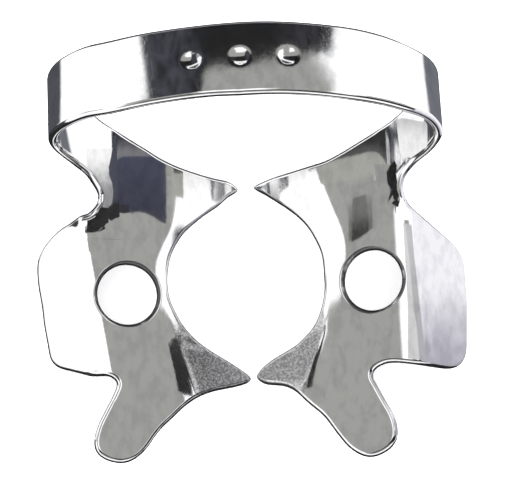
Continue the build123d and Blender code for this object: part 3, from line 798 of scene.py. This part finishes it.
def flag(name, pts, colour, far=None, reach=(0.0, 1.0)):
    """a card hung over the object, seen only in its reflections: corners in mm; with far, its
    colour runs from colour to far along y"""
    me = bpy.data.meshes.new(name)
    me.from_pydata([tuple(world(p)) for p in pts], [], [tuple(range(len(pts)))])
    ob = bpy.data.objects.new(name, me)
    mat = bpy.data.materials.new(name)
    mat.use_nodes = True
    t = mat.node_tree
    t.nodes.clear()
    em = t.nodes.new("ShaderNodeEmission")
    em.inputs["Strength"].default_value = 1.0
    fg = Graph(t)
    if far is None:
        em.inputs["Color"].default_value = (*colour, 1)
    else:
        co = fg.node("ShaderNodeTexCoord")
        ns = fg.node("ShaderNodeTexNoise")
        ns.inputs["Scale"].default_value = 7.0
        ns.inputs["Detail"].default_value = 3.0
        t.links.new(co.outputs["Generated"], ns.inputs["Vector"])
        xyz = fg.node("ShaderNodeSeparateXYZ")
        t.links.new(co.outputs["Generated"], xyz.inputs[0])
        along = fg.add(xyz.outputs[1], fg.mul(fg.sub(ns.outputs[0], 0.5), 0.35))
        t.links.new(fg.mixc(fg.step(along, *reach), colour, far), em.inputs["Color"])
    out = t.nodes.new("ShaderNodeOutputMaterial")
    t.links.new(em.outputs[0], out.inputs[0])
    me.materials.append(mat)
    ob.visible_camera = False
    ob.visible_diffuse = False
    ob.visible_shadow = False
    bpy.context.scene.collection.objects.link(ob)
    return ob


# dark board beside the bow, mirrored by the left neck with its rounded edge
flag("board_left", [(-6.6, 4.9, 7.0), (-5.6, 5.15, 7.0), (-5.0, 5.42, 7.0), (-4.5, 5.60, 7.0), (-3.9, 5.58, 7.0),
                    (-3.4, 5.35, 7.0), (-3.0, 5.08, 7.0), (-2.55, 4.95, 7.0),
                    (-2.25, 9.6, 7.0), (-6.6, 9.6, 7.0)], (0.040, 0.043, 0.066), (0.062, 0.066, 0.100), (0.1, 0.8))
flag("board_left_far", [(-6.6, 8.95, 6.95), (-2.25, 9.05, 6.95), (-2.25, 11.2, 6.95), (-6.6, 11.2, 6.95)], (0.20, 0.20, 0.215),
     (0.045, 0.047, 0.062), (0.15, 0.55))
# grey board, mirrored by the right neck
flag("board_grey", [(-1.2, 6.9, 8.0), (5.2, 6.9, 8.0), (5.2, 10.6, 8.0), (-1.2, 10.6, 8.0)], (0.40, 0.40, 0.37),
     (0.20, 0.20, 0.19), (0.45, 0.95))
# darker board behind it, mirrored along the rear edge of the right neck
flag("board_rear", [(-1.0, 8.35, 7.9), (5.6, 8.45, 7.9), (5.6, 10.6, 7.9), (-1.0, 10.6, 7.9)], (0.085, 0.085, 0.085),
     (0.03, 0.03, 0.03), (0.05, 0.45))
# white board over the opening, mirrored by the rear prongs
flag("board_white", [(-1.9, 4.2, 4.0), (1.8, 4.2, 4.0), (1.8, 9.0, 4.0), (-1.9, 9.0, 4.0)], (1.2, 1.2, 1.2),
     (0.80, 0.80, 0.79), (0.35, 0.9))
# small dark boards, mirrored by the right plate above the hole
flag("board_dim", [(3.20, 3.10, 6.9), (4.30, 3.25, 6.9), (5.25, 3.60, 6.9), (5.30, 4.6, 6.9), (5.10, 6.2, 6.9),
                   (3.40, 6.2, 6.9)], (0.17, 0.17, 0.16), (0.34, 0.34, 0.325), (0.30, 0.75))
flag("board_right", [(3.50, 3.00, 6.8), (4.25, 3.17, 6.8), (5.00, 3.45, 6.8), (5.0, 4.4, 6.8), (4.80, 5.2, 6.8),
                     (3.75, 5.2, 6.8)], (0.040, 0.040, 0.038), (0.17, 0.17, 0.16), (0.15, 0.85))
# dark strip, mirrored by the facet and the bends of the front prongs
flag("board_front", [(-2.35, -2.1, 7.0), (-1.35, -2.1, 7.0), (-0.95, -1.3, 7.0), (-0.15, -1.0, 7.0), (-0.15, -2.4, 7.0),
                     (-0.38, -5.1, 7.0), (-2.35, -5.1, 7.0)], (0.018, 0.018, 0.019), (0.075, 0.075, 0.078), (0.55, 1.0))
# dark and grey cards at the hollow of the right neck
flag("board_nook", [(7.6, 6.9, 4.97), (7.6, 6.6, 4.80), (7.6, 6.2, 4.68), (7.6, 5.7, 4.70), (7.6, 5.35, 4.74),
                    (7.6, 5.05, 4.84), (7.6, 4.8, 4.92), (7.6, 4.45, 5.02), (7.6, 4.24, 5.15),
                    (7.6, 4.24, 5.44), (7.6, 4.5, 5.36), (7.6, 4.9, 5.30), (7.6, 5.3, 5.20),
                    (7.6, 5.7, 5.12), (7.6, 6.2, 5.02), (7.6, 6.6, 5.04)], (0.012, 0.012, 0.012))
flag("board_nook_tail", [(8.35, 4.85, 4.50), (8.35, 4.60, 4.50), (8.35, 4.40, 4.55), (8.35, 4.27, 4.68), (8.35, 4.07, 4.95),
                         (8.35, 3.90, 5.22), (8.35, 3.86, 5.45), (8.35, 3.92, 5.5), (8.35, 4.1, 5.25),
                         (8.35, 4.35, 5.10), (8.35, 4.55, 4.95), (8.35, 4.7, 4.85), (8.35, 4.85, 4.75)],
     (0.012, 0.012, 0.012))
flag("board_nook_grey", [(7.52, 4.3, 4.62), (7.52, 4.9, 4.36), (7.52, 5.4, 4.22), (7.52, 5.7, 4.11), (7.52, 6.7, 4.11),
                         (7.52, 6.7, 5.0), (7.52, 4.3, 5.0)], (0.33, 0.33, 0.318))
flag("board_nook_plain", [(7.45, 3.5, 4.95), (7.45, 4.1, 4.80), (7.45, 4.7, 4.80), (7.45, 4.7, 5.9), (7.45, 3.5, 6.2)],
     (0.37, 0.37, 0.355))
# white card over the root of the right wing
flag("board_root", [(8.70, 3.45, 5.2), (10.6, 3.45, 5.2), (10.6, 4.00, 5.2), (8.62, 4.00, 5.2)], (1.22, 1.22, 1.23))
# dark card at the hollow of the left neck
flag("board_hollow", [(-9.15, 3.330, 3.95), (-6.9, 3.325, 3.92), (-6.9, 3.400, 4.36), (-9.15, 3.405, 4.39)], (0.015, 0.015, 0.016))
# dark, pale and grey cards beside it
flag("board_wedge", [(-7.35, 9.3, 3.05), (-7.35, 9.3, 3.36), (-7.35, 8.7, 3.42), (-7.35, 8.0, 3.50), (-7.35, 7.5, 3.57),
                     (-7.35, 7.0, 3.57), (-7.35, 6.5, 3.49), (-7.35, 6.0, 3.46), (-7.35, 5.5, 3.51), (-7.35, 5.3, 3.53),
                     (-7.35, 5.05, 3.58), (-7.35, 4.9, 3.66), (-7.35, 4.8, 3.74), (-7.35, 4.66, 3.83),
                     (-7.35, 4.4, 3.92), (-7.35, 4.15, 3.94), (-7.35, 4.12, 3.86),
                     (-7.35, 4.25, 3.72), (-7.35, 4.35, 3.60), (-7.35, 4.42, 3.48), (-7.35, 4.45, 3.3),
                     (-7.35, 4.55, 3.05)], (0.018, 0.018, 0.019), (0.068, 0.072, 0.098), (0.20, 0.38))
flag("board_wedge_end", [(-8.0, 5.05, 3.3), (-8.0, 5.02, 3.5), (-8.0, 4.98, 3.63), (-8.0, 4.93, 3.8), (-8.0, 4.95, 4.1),
                         (-8.0, 5.1, 4.5), (-8.0, 5.1, 4.75), (-8.0, 3.75, 4.75), (-8.0, 3.75, 4.1), (-8.0, 3.70, 3.93),
                         (-8.0, 3.72, 3.84), (-8.0, 3.85, 3.68), (-8.0, 4.0, 3.55), (-8.0, 4.1, 3.42),
                         (-8.0, 4.2, 3.3)], (0.018, 0.018, 0.018))
flag("board_pale", [(-7.35, 8.6, 3.43), (-7.35, 8.0, 3.50), (-7.35, 7.5, 3.57), (-7.35, 7.0, 3.57), (-7.35, 6.5, 3.49),
                    (-7.35, 6.0, 3.46), (-7.35, 5.5, 3.51),
                    (-7.35, 5.3, 3.53), (-7.35, 5.08, 3.60), (-7.35, 4.86, 3.76), (-7.35, 5.0, 4.4),
                    (-7.35, 5.3, 4.9), (-7.35, 8.6, 4.9)], (0.30, 0.30, 0.31), (1.05, 1.05, 1.05), (0.25, 0.95))
flag("board_plain", [(-6.5, 4.86, 3.55), (-6.5, 4.86, 4.6), (-6.5, 4.6, 5.6), (-6.5, 3.4, 6.4), (-6.5, 3.0, 5.6),
                     (-6.5, 3.6, 4.3), (-6.5, 4.0, 3.9), (-6.5, 4.4, 3.55)], (0.36, 0.36, 0.345))
flag("board_low", [(-6.5, 4.86, 3.55), (-6.5, 4.86, 4.36), (-6.5, 5.2, 4.36), (-6.5, 5.36, 4.1), (-6.5, 5.36, 3.55)],
     (0.030, 0.030, 0.036))
flag("board_end", [(-9.15, 2.6, 4.43), (-7.6, 2.6, 4.43), (-7.6, 3.41, 4.43), (-9.15, 3.41, 4.43)], (0.36, 0.36, 0.345))
# white strip along the left ridge
flag("board_ridge", [(-8.44, -4.9, 4.05), (-9.30, -4.9, 4.05), (-10.43, 3.75, 4.33), (-9.40, 3.75, 4.33)], (1.25, 1.25, 1.26))
# pale side panel, mirrored by the right wing
flag("panel_right", [(21.0, 9.0, -8.0), (21.0, -11.0, -8.0), (21.0, -11.0, 15.0), (21.0, 9.0, 15.0)], (0.44, 0.43, 0.50),
     (0.98, 0.97, 1.02), (0.34, 0.66))
# pale cards over the bend of the right wing
flag("board_bend", [(9.25, 3.4, 6.0), (9.20, -1.4, 6.0), (8.75, -4.6, 6.0), (11.2, -4.6, 6.0), (11.0, -2.9, 6.0),
                    (10.4, -1.4, 6.0), (10.2, 0.0, 6.0), (10.0, 1.5, 6.0), (9.6, 3.4, 6.0)], (0.68, 0.68, 0.68),
     (0.74, 0.74, 0.74), (0.3, 0.9))
flag("board_bend_far", [(9.6, 3.4, 6.0), (10.0, 1.5, 6.0), (10.2, 0.0, 6.0), (10.4, -1.4, 6.0), (11.0, -2.9, 6.0),
                        (11.2, -4.6, 6.0), (13.4, -4.6, 6.0), (13.4, -2.9, 6.0), (12.7, -1.4, 6.0), (12.1, 0.0, 6.0),
                        (11.5, 1.5, 6.0), (11.2, 3.4, 6.0)], (0.46, 0.46, 0.475), (0.60, 0.60, 0.61), (0.35, 0.95))
# pale card at the foot of the bow on the right
flag("board_foot", [(8.4, 6.9, 5.35), (8.4, 7.3, 5.16), (8.4, 9.0, 5.10), (8.4, 9.25, 5.4), (8.4, 9.2, 6.12), (8.4, 6.9, 6.12)],
     (0.98, 0.98, 0.98), (0.66, 0.66, 0.66), (0.35, 1.0))

floor_me = bpy.data.meshes.new("floor")
floor_me.from_pydata([(-3, -3, 0), (3, -3, 0), (3, 3, 0), (-3, 3, 0)], [], [(0, 1, 2, 3)])
floor = bpy.data.objects.new("floor", floor_me)
fm = bpy.data.materials.new("floor")
fm.use_nodes = True
fb = fm.node_tree.nodes["Principled BSDF"]
fb.inputs["Base Color"].default_value = (0.93, 0.93, 0.935, 1)
fb.inputs["Roughness"].default_value = 0.8
fb.inputs["Specular IOR Level"].default_value = 0.0
floor_me.materials.append(fm)
floor.visible_glossy = False
bpy.context.scene.collection.objects.link(floor)

# ------------------------------------------------------------------ material
steel = bpy.data.materials.new("polished_steel")
steel.use_nodes = True
st = steel.node_tree
bsdf = st.nodes["Principled BSDF"]
bsdf.inputs["Metallic"].default_value = 1.0
s = Graph(st)
tcs = s.node("ShaderNodeTexCoord")
scale = s.node("ShaderNodeVectorMath", operation="SCALE")
scale.inputs["Scale"].default_value = 1000.0
st.links.new(tcs.outputs["Object"], scale.inputs[0])
mm = scale.outputs[0]
sp = s.node("ShaderNodeSeparateXYZ")
st.links.new(mm, sp.inputs[0])
px, py, pz = sp.outputs


def noise_at(freq, detail, stretch=None, turn=0.0):
    mp = s.node("ShaderNodeMapping")
    mp.inputs["Scale"].default_value = stretch or (1, 1, 1)
    mp.inputs["Rotation"].default_value = (0, 0, turn)
    st.links.new(mm, mp.inputs["Vector"])
    n = s.node("ShaderNodeTexNoise")
    n.inputs["Scale"].default_value = freq
    n.inputs["Detail"].default_value = detail
    st.links.new(mp.outputs[0], n.inputs["Vector"])
    return n.outputs[0]


# the ground faces of the two front prongs, beyond the bend
yd = s.add(py, 1.694)
left_line = s.add(s.mul(s.add(yd, 1.57), -0.298), -4.90)
right_line = s.add(s.mul(s.add(yd, 2.08), 0.36), 4.30)
front = s.step(yd, -1.4, -2.4)
ground_l = s.mul(s.step(s.sub(px, left_line), 0.02, 0.12), s.step(px, 0.2, 0.0))
ground_r = s.mul(s.step(s.sub(right_line, px), 0.02, 0.12), s.step(px, -0.2, 0.0))
ground = s.mul(front, s.add(ground_l, ground_r))


# punched holes: the wall and a thin ring around each hole are painted near-black in patches, as painted shade inside
# the hole and a painted dark reflection on its rounded rim
def ring(cx, cy, cz, ax, az):
    dx, dy, dz = s.sub(px, cx), s.sub(py, cy), s.sub(pz, cz)
    along = s.add(s.mul(dx, ax), s.mul(dz, az))
    ex = s.sub(dx, s.mul(along, ax))
    ez = s.sub(dz, s.mul(along, az))
    d2 = s.add(s.add(s.mul(ex, ex), s.mul(dy, dy)), s.mul(ez, ez))
    return s.step(s.math("SQRT", d2), 1.98, 1.90)


wavy = noise_at(0.9, 3.0)
holes = s.math("MAXIMUM", ring(-7.21068, -1.74404, 2.79555, 0.224951, 0.974370),
               ring(7.04932, -1.74404, 3.62275, -0.342020, 0.939693))
fine = noise_at(7.0, 4.0)
pits = noise_at(22.0, 2.0)
brushed = noise_at(3.0, 4.0, (14.0, 0.7, 1.0), 0.12)
across = noise_at(3.0, 3.0, (0.8, 12.0, 1.0), -0.5)

# painted shade and painted dark reflection at the holes, broken into patches by the slow waves
hole_painted_dark = s.mul(holes, s.step(wavy, 0.25, 0.45))
cloudy = noise_at(1.6, 5.0, (1.0, 0.6, 1.0), 0.3)
metal = s.mixc(s.step(cloudy, 0.40, 0.68), (0.92, 0.92, 0.92), (0.80, 0.80, 0.81))
tone = s.mixc(s.mul(hole_painted_dark, 0.92), metal, (0.06, 0.06, 0.065))
# the front prongs' faces beyond the bend: a mottled finish, with the base colour darkened as painted shade, more on the
# left prong than on the right
left_ground_mottle_and_shade = s.mixc(s.step(fine, 0.40, 0.60), (0.34, 0.34, 0.345), (0.56, 0.56, 0.56))
tone = s.mixc(s.mul(front, ground_l), tone, left_ground_mottle_and_shade)
right_ground_mottle_and_shade = s.mixc(s.step(fine, 0.40, 0.60), (0.56, 0.56, 0.565), (0.76, 0.76, 0.76))
tone = s.mixc(s.mul(front, ground_r), tone, right_ground_mottle_and_shade)
st.links.new(tone, bsdf.inputs["Base Color"])

rough = s.add(0.066, s.mul(s.step(fine, 0.45, 0.75), 0.035))
rough = s.add(rough, s.mul(s.step(brushed, 0.60, 0.72), 0.04))
rough = s.mixf(ground, rough, s.add(0.13, s.mul(fine, 0.12)))
rough = s.mixf(holes, rough, 0.30)
st.links.new(rough, bsdf.inputs["Roughness"])

# surface: slow waves from bending, polishing lines, fine pits; coarser where it is ground
height = s.mul(wavy, 0.0030)
height = s.add(height, s.mul(s.step(brushed, 0.58, 0.75), -0.00022))
height = s.add(height, s.mul(s.step(across, 0.64, 0.78), -0.00018))
height = s.add(height, s.mul(fine, 0.00022))
height = s.add(height, s.mul(s.mul(pits, ground), 0.0016))
height = s.add(height, s.mul(s.mul(fine, ground), 0.0045))
bump = s.node("ShaderNodeBump")
bump.inputs["Strength"].default_value = 1.0
bump.inputs["Distance"].default_value = 0.001
st.links.new(height, bump.inputs["Height"])
st.links.new(bump.outputs[0], bsdf.inputs["Normal"])
mesh.materials.append(steel)
